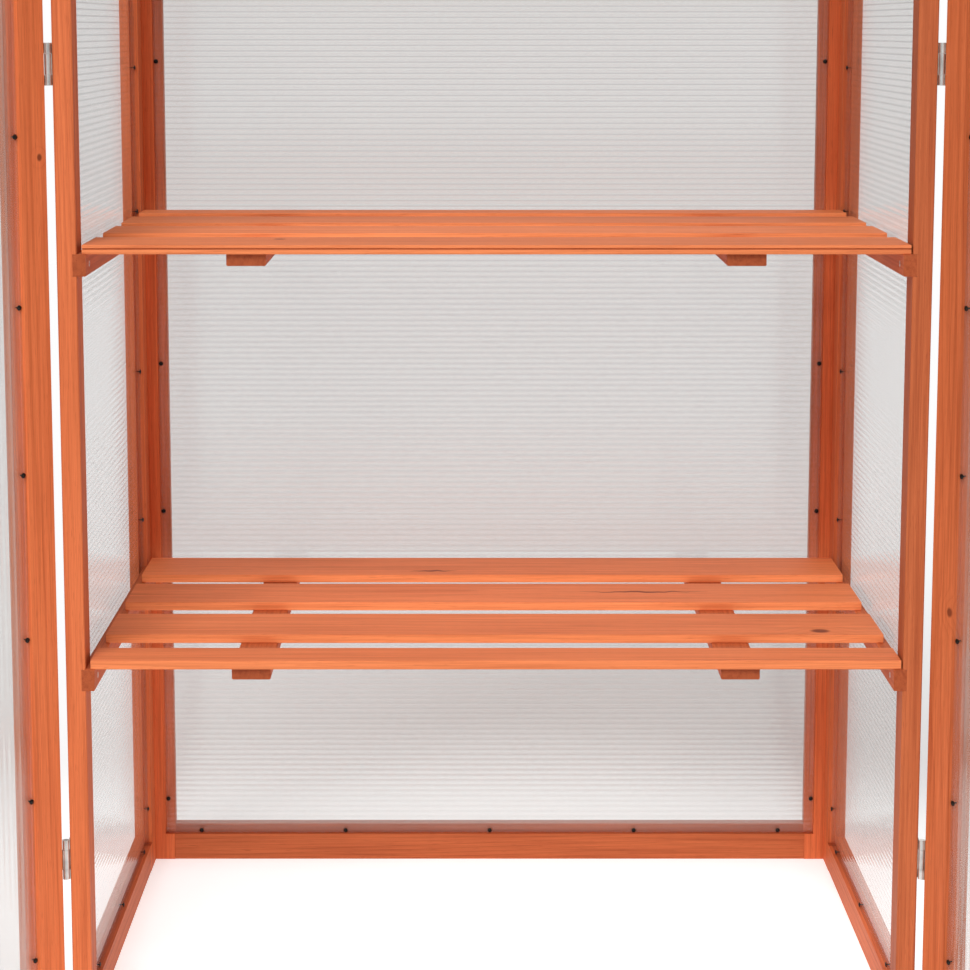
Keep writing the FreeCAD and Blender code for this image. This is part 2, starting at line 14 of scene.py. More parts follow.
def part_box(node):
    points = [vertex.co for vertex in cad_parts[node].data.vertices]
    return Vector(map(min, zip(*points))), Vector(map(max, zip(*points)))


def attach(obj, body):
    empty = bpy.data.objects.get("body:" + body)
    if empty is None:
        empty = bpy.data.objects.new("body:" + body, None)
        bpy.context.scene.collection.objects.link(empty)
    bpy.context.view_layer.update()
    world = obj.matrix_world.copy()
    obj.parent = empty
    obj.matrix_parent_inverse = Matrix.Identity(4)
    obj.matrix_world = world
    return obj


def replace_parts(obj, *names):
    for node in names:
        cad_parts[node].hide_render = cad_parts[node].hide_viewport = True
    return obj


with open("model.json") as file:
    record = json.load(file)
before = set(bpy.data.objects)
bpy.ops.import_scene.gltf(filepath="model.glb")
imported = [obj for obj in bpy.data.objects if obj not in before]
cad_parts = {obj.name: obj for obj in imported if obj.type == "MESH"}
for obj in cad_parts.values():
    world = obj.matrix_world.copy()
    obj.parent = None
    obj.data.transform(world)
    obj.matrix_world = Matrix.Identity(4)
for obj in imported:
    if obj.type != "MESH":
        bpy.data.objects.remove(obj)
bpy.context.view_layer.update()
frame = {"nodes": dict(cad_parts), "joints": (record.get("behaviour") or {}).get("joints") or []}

LOG = logging.getLogger("greenhouse")
MM = 0.001
HAIR = 0.02 * MM  # keeps points apart that would else meet
WHITE = (1.0, 1.0, 1.0, 1.0)
X, Y, Z = Vector((1, 0, 0)), Vector((0, 1, 0)), Vector((0, 0, 1))

# Settings that several nodes share
EASED = {"interpolation_type": "SMOOTHSTEP"}
BLEND = {"data_type": "RGBA"}
TINT = {"data_type": "RGBA", "blend_type": "MULTIPLY"}

Socket = bpy.types.NodeSocket
Node = bpy.types.Node
Material = bpy.types.Material
Triple = tuple[float, float, float]
Colour = tuple[float, float, float, float]
Given = Socket | Node | float | tuple
Surface = tuple[np.ndarray, np.ndarray]

# Sizes shared with the solids, in millimetres and degrees
FRONT_Y = -11.5
SIDE_DEPTH = 435.7
LEDGER_FACE = 350.0
LEDGER_TOPS = (327.0, 692.0)
LEDGER_HEIGHT = 19.0
HINGE_AXIS_X = 378.5
HINGE_AXIS_Y = -11.65
HINGE_HEIGHT = 36.0
HINGE_LEAF_FACE = 376.2
LID_AXIS_Y = 444.7
LID_AXIS_Z = 1073.506
LID_HINGE_X = 245.0
ROOF_DEGREES = 8.0


def joint_range(name: str) -> tuple[float, float]:
    """Range of one of the record's joints, in degrees."""
    found = next(j for j in frame["joints"] if j["name"] == name)
    return tuple(found["range_deg"])


LEFT_OPEN = -joint_range("left_door_hinge")[0]
RIGHT_OPEN = -joint_range("right_door_hinge")[0]


def linear(code: str, tone: float = 1.0) -> Colour:
    """Turn an sRGB hex colour into linear light.

    Args:
        code: colour as "#RRGGBB".
        tone: factor on the light.

    Returns:
        Red, green, blue and an alpha of 1.
    """
    parts = [int(code[i : i + 2], 16) / 255 for i in (1, 3, 5)]
    light = [c / 12.92 if c <= 0.04045 else ((c + 0.055) / 1.055) ** 2.4 for c in parts]
    return (*(c * tone for c in light), 1.0)


def between(first: Colour, second: Colour, share: float) -> Colour:
    """Colour that lies a share of the way from the first to the second."""
    return tuple(a * (1 - share) + b * share for a, b in zip(first, second))


def seeded(name: str) -> np.random.Generator:
    """Random numbers that are the same in every run for one name."""
    return np.random.default_rng(zlib.crc32(name.encode()))


class Graph:
    """Node tree of one new material or world, with its shader."""

    def __init__(self, owner: Material | bpy.types.World) -> None:
        """Start from the shader that a new material or world has.

        Args:
            owner: the new material or world.
        """
        owner.use_nodes = True
        self.owner = owner
        self.tree = owner.node_tree
        self.shader = next(n for n in self.tree.nodes if n.type in ("BSDF_PRINCIPLED", "BACKGROUND"))

    def add(
        self,
        kind: str,
        *inputs: Given,
        stops: Sequence[tuple[float, Colour]] = (),
        **named: Given | str,
    ) -> Node:
        """Add a node with its settings, values and links.

        Args:
            kind: the node's type, without the "ShaderNode" in front.
            inputs: what goes into each input that is in use, in turn.
            stops: places and colours of a colour ramp.
            named: the node's properties, and inputs by name, with a capital.

        Returns:
            The new node.
        """
        node = self.tree.nodes.new("ShaderNode" + kind)
        for key in filter(str.islower, named):
            setattr(node, key, named[key])
        for _ in stops[2:]:
            node.color_ramp.elements.new(0.5)
        for index, (place, colour) in enumerate(stops):
            node.color_ramp.elements[index].position = place
            node.color_ramp.elements[index].color = colour
        for socket, value in zip([s for s in node.inputs if s.enabled], inputs):
            self.feed(socket, value)
        for key in named:
            if not key.islower():
                self.feed(node.inputs[key], named[key])
        return node

    def feed(self, socket: Socket, value: Given) -> None:
        """Link an input, or set its value.

        Args:
            socket: the input.
            value: an output, a node for its first output in use, or a constant.
        """
        if isinstance(value, Node):
            value = next(s for s in value.outputs if s.enabled)
        if isinstance(value, Socket):
            self.tree.links.new(value, socket)
        else:
            socket.default_value = value

    def finish(self, **inputs: Given) -> Material | bpy.types.World:
        """Feed the shader's inputs by name, and give back what it dresses."""
        for key, value in inputs.items():
            self.feed(self.shader.inputs[key.replace("_", " ")], value)
        return self.owner

    def streaks(self, place: Given, cells: tuple, detail: float = 2.0) -> Node:
        """Noise that is drawn out along an axis.

        Args:
            place: the place that it is read at.
            cells: how many cells there are in a metre along each axis.
            detail: how many finer layers it has.

        Returns:
            The noise.
        """
        stretched = self.add("VectorMath", place, cells, operation="MULTIPLY")
        return self.add("TexNoise", stretched, 1.0, detail)


class Grain(Enum):
    """Ways that the members' grain runs and their wide faces look, at rest."""

    UPRIGHT_SIDE = "upright, wide face to the side"
    UPRIGHT_BACK = "upright, wide face to the front"
    DEPTH_SIDE = "front to back, wide face to the side"
    DEPTH_FLAT = "front to back, wide face up"
    ACROSS_BACK = "across, wide face to the front"
    ACROSS_FLAT = "across, wide face up"
    LEFT_DOOR_UP = "upright in the open left door"
    LEFT_DOOR_OUT = "across the open left door"
    RIGHT_DOOR_UP = "upright in the open right door"
    RIGHT_DOOR_OUT = "across the open right door"

    def axes(self, slope: float = 0.0) -> tuple[Vector, Vector]:
        """Unit vectors along the grain and across the wide face.

        Args:
            slope: degrees that a member running front to back rises by.

        Returns:
            The two directions in the row's frame.
        """
        rise = math.radians(slope)
        deep = Vector((0, math.cos(rise), math.sin(rise)))
        steep = Vector((0, -math.sin(rise), math.cos(rise)))
        swing_left, swing_right = math.radians(LEFT_OPEN), math.radians(RIGHT_OPEN)
        left = Vector((math.cos(swing_left), -math.sin(swing_left), 0))
        right = Vector((-math.cos(swing_right), -math.sin(swing_right), 0))
        table = {
            Grain.UPRIGHT_SIDE: (Z, Y),
            Grain.UPRIGHT_BACK: (Z, X),
            Grain.DEPTH_SIDE: (deep, steep),
            Grain.DEPTH_FLAT: (deep, X),
            Grain.ACROSS_BACK: (X, Z),
            Grain.ACROSS_FLAT: (X, deep),
            Grain.LEFT_DOOR_UP: (Z, left),
            Grain.LEFT_DOOR_OUT: (left, Z),
            Grain.RIGHT_DOOR_UP: (Z, right),
            Grain.RIGHT_DOOR_OUT: (right, Z),
        }
        return table[self]


@dataclass(frozen=True)
class Board:
    """One wooden member, and how it was cut from the log.

    The slope is in degrees. A knot is (along, across, radius) and a shake
    (along, across, length), in mm from the board's middle. The tone is a
    factor on the stain's colours that paints light and shade: it makes members
    darker where shade falls on them, and lighter where the lamps leave them too dark.
    """

    node: str
    grain: Grain
    slope: float = 0.0
    knots: tuple[Triple, ...] = ()
    shakes: tuple[Triple, ...] = ()
    tone: float = 1.0

    def basis(self) -> Matrix:
        """Rotation from the row's frame to the board's: across, along, through."""
        along, across = self.grain.axes(self.slope)
        return Matrix((across, along, across.cross(along)))


@dataclass(frozen=True)
class StainedFir:
    """Planed fir under a thin red-brown stain, satin.

    The stain evens the wood out, so the rings are only faint long stripes,
    arched where they come to the face at a slant. The eye gets the fine
    fibre, short dark resin ducts, cloudy patches of stain, a few knots, and
    sawn ends that drank more stain and are darker. Cells are counts per metre
    across, along and through the board.
    """

    early: str = "#DB7848"
    late: str = "#C4623A"
    resin: str = "#A04A28"
    knot: str = "#6E2F18"
    ring_mm: float = 4.2
    fibre_mm: float = 0.7
    figure: float = 1.0
    duct_mm: float = 0.45
    shake_mm: float = 6.4
    waver_mm: float = 16.0
    wander_mm: float = 16.0
    bump_mm: float = 0.4
    wander_cells: Triple = (7.0, 1.6, 7.0)
    patch_cells: Triple = (26.0, 3.0, 26.0)
    band_cells: Triple = (260.0, 4.0, 260.0)
    cloud_cells: Triple = (9.0, 2.2, 9.0)
    end_grain: Colour = (0.62, 0.52, 0.46, 1.0)
    roughness: float = 0.58

    def make(self, board: Board) -> Material:
        """Material of one board, its rings centred on a pith of its own.

        Args:
            board: the board to dress.

        Returns:
            The material.
        """
        chance = seeded(board.node)
        graph = Graph(bpy.data.materials.new("stained_fir_" + board.node))
        basis = board.basis()
        low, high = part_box(board.node)
        middle = basis @ ((low + high) / 2)
        # The pith lies beside the board, and the pattern starts anywhere along it
        pith_side = chance.uniform(-0.03, 0.03)
        pith_depth = chance.uniform(0.035, 0.11) * chance.choice([-1, 1])
        shift = Vector((pith_side, chance.uniform(3, 9), pith_depth)) - middle
        centre = shift + middle
        lean = chance.uniform(-0.035, 0.035)
        # Painted light and shade: the board's tone, with a small random spread between boards
        tone = board.tone * (1 + chance.uniform(-0.05, 0.05))
        place = graph.add("TexCoord").outputs["Object"]
        turned = graph.add("Mapping", place, shift, basis.to_euler("XYZ"), vector_type="POINT")
        knot_mask, swirl = self.knots(graph, board, turned, centre)
        ring = self.rings(graph, turned, lean, swirl)
        fibre = graph.streaks(turned, (1000 / self.fibre_mm, 18.0, 1000 / self.fibre_mm))
        wood = self.stain(graph, turned, ring, fibre, tone)
        masks = [self.shake(graph, turned, shake, centre) for shake in board.shakes]
        for mask in (*masks, knot_mask):
            wood = graph.add("Mix", mask, wood, linear(self.knot), **BLEND)
        wood = self.ends(graph, wood, basis)
        relief = graph.add("Math", ring, 0.35, operation="MULTIPLY")
        height = graph.add("Math", fibre, 0.7, relief, operation="MULTIPLY_ADD")
        bump = graph.add("Bump", Strength=0.22, Distance=self.bump_mm * MM, Height=height)
        satin = {"Roughness": self.roughness, "Specular_IOR_Level": 0.2}
        return graph.finish(Base_Color=wood, Normal=bump, **satin)

    def rings(self, graph: Graph, turned: Node, lean: float, swirl: Given) -> Node:
        """Place within the year's growth, from 0 to 1, round a wandering pith.

        It is the fraction of r / ring + 1.6 swirl, where r is the distance
        from the pith's line, which leans to one side along the board.

        Args:
            graph: the board's material.
            turned: the place in the board's own axes.
            lean: how far the pith moves aside per metre along.
            swirl: the bend round the knots.

        Returns:
            The place within one ring.
        """
        wander = graph.streaks(turned, self.wander_cells, 3.0).outputs["Color"]
        reach = self.wander_mm * MM
        bent = graph.add("VectorMath", wander, (reach, 0.0, reach), turned, operation="MULTIPLY_ADD")
        parts = graph.add("SeparateXYZ", bent).outputs
        # The board's middle lies about 6 m along the pith, where it has no lean
        level = graph.add("Math", parts[0], 6 * lean, operation="SUBTRACT")
        side = graph.add("Math", parts[1], lean, level, operation="MULTIPLY_ADD")
        squares = [graph.add("Math", part, 2.0, operation="POWER") for part in (side, parts[2])]
        radius = graph.add("Math", graph.add("Math", *squares, operation="ADD"), operation="SQRT")
        bend = graph.add("Math", swirl, 1.6, operation="MULTIPLY")
        turns = graph.add("Math", radius, 1 / (self.ring_mm * MM), bend, operation="MULTIPLY_ADD")
        return graph.add("Math", turns, operation="FRACT")

    def stain(self, graph: Graph, turned: Node, ring: Node, fibre: Node, tone: float) -> Node:
        """Stained wood between the knots and the sawn ends.

        Args:
            graph: the board's material.
            turned: the place in the board's own axes.
            ring: the place within one ring.
            fibre: the fibre's noise.
            tone: factor on the colours, the board's painted light and shade with a small random spread.

        Returns:
            The colour.
        """
        early, late = linear(self.early, tone), linear(self.late, tone)
        soft = between(early, late, 0.3)
        year = [(0.0, early), (0.4, early), (0.78, soft), (0.92, late), (1.0, early)]
        patch = graph.streaks(turned, self.patch_cells)
        shown = graph.add("MapRange", patch, 0.38, 0.62, 0.2, self.figure, **EASED)
        rings = graph.add("ValToRGB", ring, stops=year)
        wood = graph.add("Mix", shown, between(early, late, 0.2), rings, **BLEND)
        band = graph.streaks(turned, self.band_cells)
        cloud = graph.streaks(turned, self.cloud_cells, 4.0)
        bands = [(0.34, (0.80, 0.72, 0.68, 1)), (0.5, WHITE), (0.72, (1.07, 1.10, 1.12, 1))]
        fibres = [(0.3, (0.87, 0.83, 0.80, 1)), (0.7, (1.08, 1.08, 1.07, 1))]
        blotches = [(0.3, (0.90, 0.84, 0.80, 1)), (0.72, (1.05, 1.05, 1.05, 1))]
        layers = ((self.figure, band, bands), (1.0, fibre, fibres), (1.0, cloud, blotches))
        for share, value, stops in layers:
            wood = graph.add("Mix", share, wood, graph.add("ValToRGB", value, stops=stops), **TINT)
        grit = graph.streaks(turned, (1000 / self.duct_mm, 70.0, 1000 / self.duct_mm), 1.0)
        ducts = graph.add("MapRange", grit, 0.64, 0.74, 0.0, 0.55)
        return graph.add("Mix", ducts, wood, linear(self.resin, tone), **BLEND)

    def ends(self, graph: Graph, wood: Node, basis: Matrix) -> Node:
        """Darken the faces that cut across the grain.

        Args:
            graph: the board's material.
            wood: the colour so far.
            basis: rotation to the board's axes, its second row along the grain.

        Returns:
            The colour.
        """
        facing = graph.add("TexCoord").outputs["Normal"]
        along = graph.add("VectorMath", facing, basis[1], operation="DOT_PRODUCT")
        ahead = graph.add("Math", along, operation="ABSOLUTE")
        cut = graph.add("MapRange", ahead, 0.75, 0.95, 0.0, 0.9)
        return graph.add("Mix", cut, wood, graph.add("Mix", 1.0, wood, self.end_grain, **TINT), **BLEND)

    def shake(self, graph: Graph, turned: Node, shake: Triple, centre: Vector) -> Node:
        """Mask of a fine crack that follows the grain.

        The crack is as wide as it needs to be to show in the render.

        Args:
            graph: the board's material.
            turned: the place in the board's own axes.
            shake: (along, across, length) in mm from the board's middle.
            centre: the board's middle in its own axes.

        Returns:
            The mask.
        """
        along, across, length = shake
        waver = self.waver_mm * MM
        parts = graph.add("SeparateXYZ", turned).outputs
        wave = graph.streaks(turned, (0.0, 40.0, 0.0))
        line = graph.add("Math", wave, waver, parts[0], operation="MULTIPLY_ADD")
        off = graph.add("Math", line, centre.x + across * MM + waver / 2, operation="SUBTRACT")
        aside = graph.add("Math", off, operation="ABSOLUTE")
        run = graph.add("Math", parts[1], centre.y + along * MM, operation="SUBTRACT")
        ahead = graph.add("Math", run, operation="ABSOLUTE")
        taper = graph.add("MapRange", ahead, length * MM / 2, 0.0, 0.0, self.shake_mm * MM / 2)
        inside = graph.add("Math", aside, taper, operation="LESS_THAN")
        return graph.add("Math", inside, 0.8, operation="MULTIPLY")

    def knots(self, graph: Graph, board: Board, turned: Node, centre: Vector) -> tuple[Given, Given]:
        """Dark knots that run through the board, and the grain's bend round them.

        Args:
            graph: the board's material.
            board: the board.
            turned: the place in the board's own axes.
            centre: the board's middle in its own axes.

        Returns:
            The knots' mask and the swirl of the rings.
        """
        mask, swirl = 0.0, 0.0
        lengthened = 0.8
        for along, across, radius in board.knots:
            size = radius * MM
            spot = (centre.x + across * MM, (centre.y + along * MM) * lengthened, 0.0)
            flat = graph.add("VectorMath", turned, (1.0, lengthened, 0.0), operation="MULTIPLY")
            away = graph.add("VectorMath", flat, spot, operation="DISTANCE")
            dark = graph.add("MapRange", away, size * 1.1, size * 0.5, **EASED)
            bend = graph.add("MapRange", away, size * 5, 0.0, interpolation_type="SMOOTHERSTEP")
            mask = graph.add("Math", mask, dark, operation="MAXIMUM")
            swirl = graph.add("Math", swirl, bend, operation="ADD")
        return graph.add("Math", mask, 0.85, operation="MULTIPLY"), swirl


class Flutes(Enum):
    """Direction that a twin-wall sheet's ribs repeat in, at rest."""

    UP = "ribs lie level, one above another"
    LEFT_DOOR = "ribs stand upright across the open left door"
    RIGHT_DOOR = "ribs stand upright across the open right door"
    LID = "ribs run down the slope of the lid"

    def direction(self) -> Triple:
        """Unit vector from one rib to the next."""
        table = {
            Flutes.UP: tuple(Z),
            Flutes.LEFT_DOOR: tuple(Grain.LEFT_DOOR_OUT.axes()[0]),
            Flutes.RIGHT_DOOR: tuple(Grain.RIGHT_DOOR_OUT.axes()[0]),
            Flutes.LID: tuple(X),
        }
        return table[self]


@dataclass(frozen=True)
class TwinWallSheet:
    """Clear polycarbonate, extruded as two skins joined by ribs.

    The ribs show as fine even lines, a shade darker than the milky skins;
    the sinking skins themselves are modelled. Where the sheet lies on the
    wood no light comes from behind, so it shows clearer there.
    """

    body: str = "#ADA9A2"
    rib: str = "#8B8884"
    pitch_mm: float = 5.7
    alpha: float = 0.288
    rib_alpha: float = 0.035
    laid_alpha: float = 0.1
    laid_rib_alpha: float = 0.02
    roughness: float = 0.14

    def make(self, name: str, flutes: Flutes, laid: bool = False) -> Material:
        """Material of one sheet, with its ribs a pitch apart.

        Args:
            name: the material's name.
            flutes: the way that the ribs run.
            laid: true for the strip that lies on the wood.

        Returns:
            The material.
        """
        graph = Graph(bpy.data.materials.new(name))
        place = graph.add("TexCoord").outputs["Object"]
        run = graph.add("VectorMath", place, flutes.direction(), operation="DOT_PRODUCT")
        phase = graph.add("Math", run, 2 * math.pi / (self.pitch_mm * MM), operation="MULTIPLY")
        rib = graph.add("MapRange", graph.add("Math", phase, operation="COSINE"), 0.45, 0.97, **EASED)
        haze = graph.add("TexNoise", place, 5.0, 3.0)
        milk = [(0.3, linear(self.body)), (0.7, linear(self.body, 1.07))]
        body = graph.add("ValToRGB", haze, stops=milk)
        skin, line = (self.laid_alpha, self.laid_rib_alpha) if laid else (self.alpha, self.rib_alpha)
        ripple = graph.add("TexNoise", place, 28.0, 1.0)
        return graph.finish(
            Base_Color=graph.add("Mix", rib, body, linear(self.rib), **BLEND),
            Alpha=graph.add("Math", rib, line, skin, operation="MULTIPLY_ADD"),
            Normal=graph.add("Bump", Strength=0.05, Distance=0.002, Height=ripple),
            Roughness=self.roughness,
            IOR=2.3,
            Coat_Weight=1.0,
            Coat_IOR=2.0,
            Coat_Roughness=0.09,
        )


@dataclass(frozen=True)
class ZincedSteel:
    """Pressed steel with a thin zinc coat, rolled and then handled.

    The eye gets a soft grey shine with fine streaks and dull spots.
    """

    tone: str = "#E2E0DC"
    dull: str = "#B4B1AC"
    streak_mm: float = 0.4
    roughness: float = 0.38

    def make(self, name: str) -> Material:
        """Material with rolling streaks along Z and cloudy dulling.

        Args:
            name: the material's name.

        Returns:
            The material.
        """
        graph = Graph(bpy.data.materials.new(name))
        place = graph.add("TexCoord").outputs["Object"]
        streak = graph.streaks(place, (1000 / self.streak_mm, 1000 / self.streak_mm, 60.0), 1.0)
        cloud = graph.add("Math", graph.add("TexNoise", place, 120.0, 3.0), 0.6, operation="MULTIPLY")
        wear = graph.add("Math", streak, 0.4, cloud, operation="MULTIPLY_ADD")
        dulled = [(0.35, linear(self.dull)), (0.65, linear(self.tone))]
        return graph.finish(
            Base_Color=graph.add("ValToRGB", wear, stops=dulled),
            Normal=graph.add("Bump", Strength=0.1, Distance=0.0001, Height=streak),
            Metallic=1.0,
            Roughness=self.roughness,
        )


@dataclass(frozen=True)
class BlackedSteel:
    """Small pin heads with a black oxide: nearly black, with a weak soft shine."""

    tone: str = "#17130F"
    worn: str = "#3A322B"
    roughness: float = 0.42

    def make(self, name: str) -> Material:
        """Material with slightly worn, browner patches.

        Args:
            name: the material's name.

        Returns:
            The material.
        """
        graph = Graph(bpy.data.materials.new(name))
        cloud = graph.add("TexNoise", graph.add("TexCoord").outputs["Object"], 700.0)
        worn = [(0.45, linear(self.tone)), (0.75, linear(self.worn))]
        colour = graph.add("ValToRGB", cloud, stops=worn)
        return graph.finish(Base_Color=colour, Metallic=0.6, Roughness=self.roughness)


def repaint(node: str, material: Material) -> None:
    """Put a material on every slot of a CAD node.

    Args:
        node: the node's name.
        material: its finish.
    """
    mesh = frame["nodes"][node].data
    mesh.materials.clear()
    mesh.materials.append(material)


def put(name: str, data: bpy.types.ID) -> bpy.types.Object:
    """Add an object to the scene.

    Args:
        name: its name.
        data: its mesh, light or camera.

    Returns:
        The new object.
    """
    made = bpy.data.objects.new(name, data)
    bpy.context.scene.collection.objects.link(made)
    return made


@dataclass
class Mesh:
    """Vertices and faces gathered for one piece, in metres in the row's frame."""

    points: list[np.ndarray] = field(default_factory=list)
    faces: list[np.ndarray] = field(default_factory=list)
    count: int = 0

    def add(self, points: np.ndarray, faces: np.ndarray) -> None:
        """Take in one more closed surface.

        Args:
            points: its points.
            faces: its faces, as numbers of those points.
        """
        self.points.append(points)
        self.faces.append(faces + self.count)
        self.count += len(points)

    def piece(self, name: str, material: Material, body: str, slot: str) -> bpy.types.Object:
        """Make the object, dress it and let it ride.

        Args:
            name: the piece's name.
            material: its finish.
            body: the CAD body that carries it.
            slot: the record's material slot; not used.

        Returns:
            The new object.
        """
        mesh = bpy.data.meshes.new(name)
        faces = [f for block in self.faces for f in block.tolist()]
        mesh.from_pydata(np.vstack(self.points).tolist(), [], faces)
        mesh.update()
        mesh.shade_smooth()
        mesh.set_sharp_from_angle(angle=math.radians(35))
        mesh.materials.append(material)
        made = put(name, mesh)
        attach(made, body)
        LOG.info("%s: %d faces on %s", name, len(faces), body)
        return made


def shell(rings: int, steps: int) -> np.ndarray:
    """Triangles of a closed shell: rings of points, then its two end points.

    Args:
        rings: how many rings there are, the first one nearest to the top.
        steps: points in each ring, counter-clockwise seen from the top.

    Returns:
        The triangles, normals outward.
    """
    j = np.arange(steps)
    k = (j + 1) % steps
    rows = (np.arange(rings - 1) * steps)[:, None]
    a, b, c, d = (side.ravel() for side in (rows + j, rows + k, rows + steps + j, rows + steps + k))
    last = (rings - 1) * steps
    top, bottom = np.full(steps, last + steps), np.full(steps, last + steps + 1)
    corners = [(a, c, d), (a, d, b), (top, j, k), (bottom, last + k, last + j)]
    return np.vstack([np.stack(three, axis=1) for three in corners])


def lathe(profile: np.ndarray, steps: int) -> Surface:
    """Closed surface of revolution about Z.

    Point (i, j) is (r_i cos t_j, r_i sin t_j, z_i) with t_j = 2 pi j / steps;
    the first and last radii are 0, so each end closes in one point.

    Args:
        profile: rows of radius and height, from the top end to the bottom.
        steps: how many points there are round the axis.

    Returns:
        Points and triangles, normals outward.
    """
    t = np.linspace(0, 2 * np.pi, steps, endpoint=False)
    r, z = profile[1:-1, 0][:, None], profile[1:-1, 1][:, None]
    body = np.stack([r * np.cos(t), r * np.sin(t), z + 0 * t], axis=-1).reshape(-1, 3)
    points = np.vstack([body, [[0, 0, profile[0, 1]], [0, 0, profile[-1, 1]]]])
    return points, shell(len(profile) - 2, steps)


def points_of(mesh: bpy.types.Mesh) -> np.ndarray:
    """A mesh's vertices.

    Args:
        mesh: the mesh.

    Returns:
        One vertex per row, in metres.
    """
    points = np.empty(len(mesh.vertices) * 3)
    mesh.vertices.foreach_get("co", points)
    return points.reshape(-1, 3)


def islands(mesh: bpy.types.Mesh) -> list[np.ndarray]:
    """Points of each connected part of a mesh, in metres.

    Labels spread along the edges until each part has one label.

    Args:
        mesh: a mesh with several separate parts.

    Returns:
        One array of points per part.
    """
    points = points_of(mesh)
    edges = np.empty(len(mesh.edges) * 2, dtype=np.int64)
    mesh.edges.foreach_get("vertices", edges)
    edges = edges.reshape(-1, 2)
    joined = np.unique(points.round(6), axis=0, return_inverse=True)[1].ravel()
    edges = joined[edges]
    labels = np.arange(joined.max() + 1)
    while True:
        low = np.minimum(labels[edges[:, 0]], labels[edges[:, 1]])
        spread = labels.copy()
        np.minimum.at(spread, edges[:, 0], low)
        np.minimum.at(spread, edges[:, 1], low)
        if np.array_equal(spread, labels):
            break
        labels = spread
    owner = labels[joined]
    return [points[owner == label] for label in np.unique(owner)]


@dataclass(frozen=True)
class FlutedSheet:
    """Twin-wall sheet as large as its solid, its skins sunk between the ribs.

    At distance u across the ribs half its thickness is
    h(u) = T / 2 - sag * (1 - cos(2 pi u / pitch)) / 2,
    and along the ribs it runs from one edge of the outline to the other. Its
    edge lies on the wood in a strip that has a finish of its own.
    """

    node: str
    body: str
    flutes: Flutes
    pitch_mm: float = 5.7
    sag_mm: float = 0.16
    laid_mm: float = 9.5
    samples: int = 8

    def outline(self, corners: np.ndarray, u: np.ndarray, inset: float) -> Surface:
        """Where the lines across a convex outline start and end.

        An edge's line is a(u) = a0 + m (u - u0), moved inward by
        inset * sqrt(1 + m^2). A line across starts at the farthest of the
        edges that go down and ends at the nearest of those that go up.

        Args:
            corners: outline's corners, as (along, across).
            u: places across the ribs.
            inset: distance from the outline's edges.

        Returns:
            Start and end of each line.
        """
        around = corners - corners.mean(axis=0)
        first = corners[np.argsort(np.arctan2(around[:, 1], around[:, 0]))]
        run, rise = (np.roll(first, -1, axis=0) - first).T
        kept = np.abs(rise) > 0.1 * MM
        slope = run[kept] / rise[kept]
        met = first[kept, 0] + slope * (u[:, None] - first[kept, 1])
        moved = inset * np.sqrt(1 + slope**2)
        start = np.where(rise[kept] < 0, met + moved, -np.inf).max(axis=1)
        return start, np.where(rise[kept] > 0, met - moved, np.inf).min(axis=1)

    def stops(self, local: np.ndarray, u: np.ndarray) -> list[np.ndarray]:
        """Where each line across meets the sheet's edges and the opening's.

        Lines near a corner keep four separate points, a hair apart.

        Args:
            local: the solid's vertices as (along, across, through).
            u: places across the ribs.

        Returns:
            Sheet's edge, opening's edge, opening's other edge, sheet's other edge.
        """
        corners = np.unique(local[:, :2].round(6), axis=0)
        start, end = self.outline(corners, u, 0.0)
        end = np.maximum(end, start + 5 * HAIR)
        opened, closed = self.outline(corners, u, self.laid_mm * MM)
        opened = np.clip(opened, start + HAIR, end - 2 * HAIR)
        closed = np.clip(closed, opened + HAIR, end - HAIR)
        return [start, opened, closed, end]

    def faces(self, rows: int) -> Surface:
        """Quads of a closed shell whose rows are rings of eight points.

        Args:
            rows: how many rings there are.

        Returns:
            The quads between the rings, then those of the two ends.
        """
        ring = 8
        j = np.arange(ring)
        k = (j + 1) % ring
        base = (np.arange(rows - 1) * ring)[:, None]
        sides = [base + j, base + k, base + ring + k, base + ring + j]
        cap = np.array([[7, 6, 1, 0], [6, 5, 2, 1], [5, 4, 3, 2]])
        ends = [cap, ring * (rows - 1) + cap[:, ::-1]]
        return np.stack(sides, axis=-1).reshape(-1, 4), np.vstack(ends)

    def piece(self, clear: Material, laid: Material) -> None:
        """Make the sheet in place of its plain solid.

        Args:
            clear: the finish inside the frame's opening.
            laid: the finish of the strip that lies on the wood.
        """
        points = points_of(frame["nodes"][self.node].data)
        normal = np.linalg.svd(points - points.mean(axis=0))[2][-1]
        across = np.array(self.flutes.direction())
        axes = np.stack([np.cross(across, normal), across, normal])
        local = points @ axes.T
        low, high = local.min(axis=0), local.max(axis=0)
        pitch, strip = self.pitch_mm * MM, self.laid_mm * MM
        step = pitch / self.samples
        inner = np.arange(math.ceil(low[1] / step) + 1, math.floor(high[1] / step)) * step
        u = np.concatenate([[low[1]], inner, [high[1]]])
        sag = self.sag_mm * MM * (1 - np.cos(2 * np.pi * u / pitch)) / 2
        half = (high[2] - low[2]) / 2 - sag
        centre = (high[2] + low[2]) / 2
        stops = self.stops(local, u)
        ring = [(a, centre + half) for a in stops] + [(a, centre - half) for a in stops[::-1]]
        grid = np.stack([np.stack([a, u, n], axis=-1) for a, n in ring], axis=1).reshape(-1, 3)
        around, caps = self.faces(len(u))
        made = Mesh()
        made.add(grid @ axes, np.vstack([around, caps]))
        sheet = made.piece(self.node + "_fluted", clear, self.body, "twin_wall_sheet")
        sheet.data.materials.append(laid)
        row = (u[:-1] > low[1] + strip - step / 2) & (u[1:] < high[1] - strip + step / 2)
        row &= (stops[2] - stops[1] > 1.5 * HAIR)[:-1]
        clear_face = row[:, None] & np.isin(np.arange(8), (1, 5))
        slots = np.concatenate([np.where(clear_face, 0, 1).ravel(), np.ones(len(caps))])
        sheet.data.polygons.foreach_set("material_index", slots.astype(np.int32))
        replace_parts(sheet, self.node)


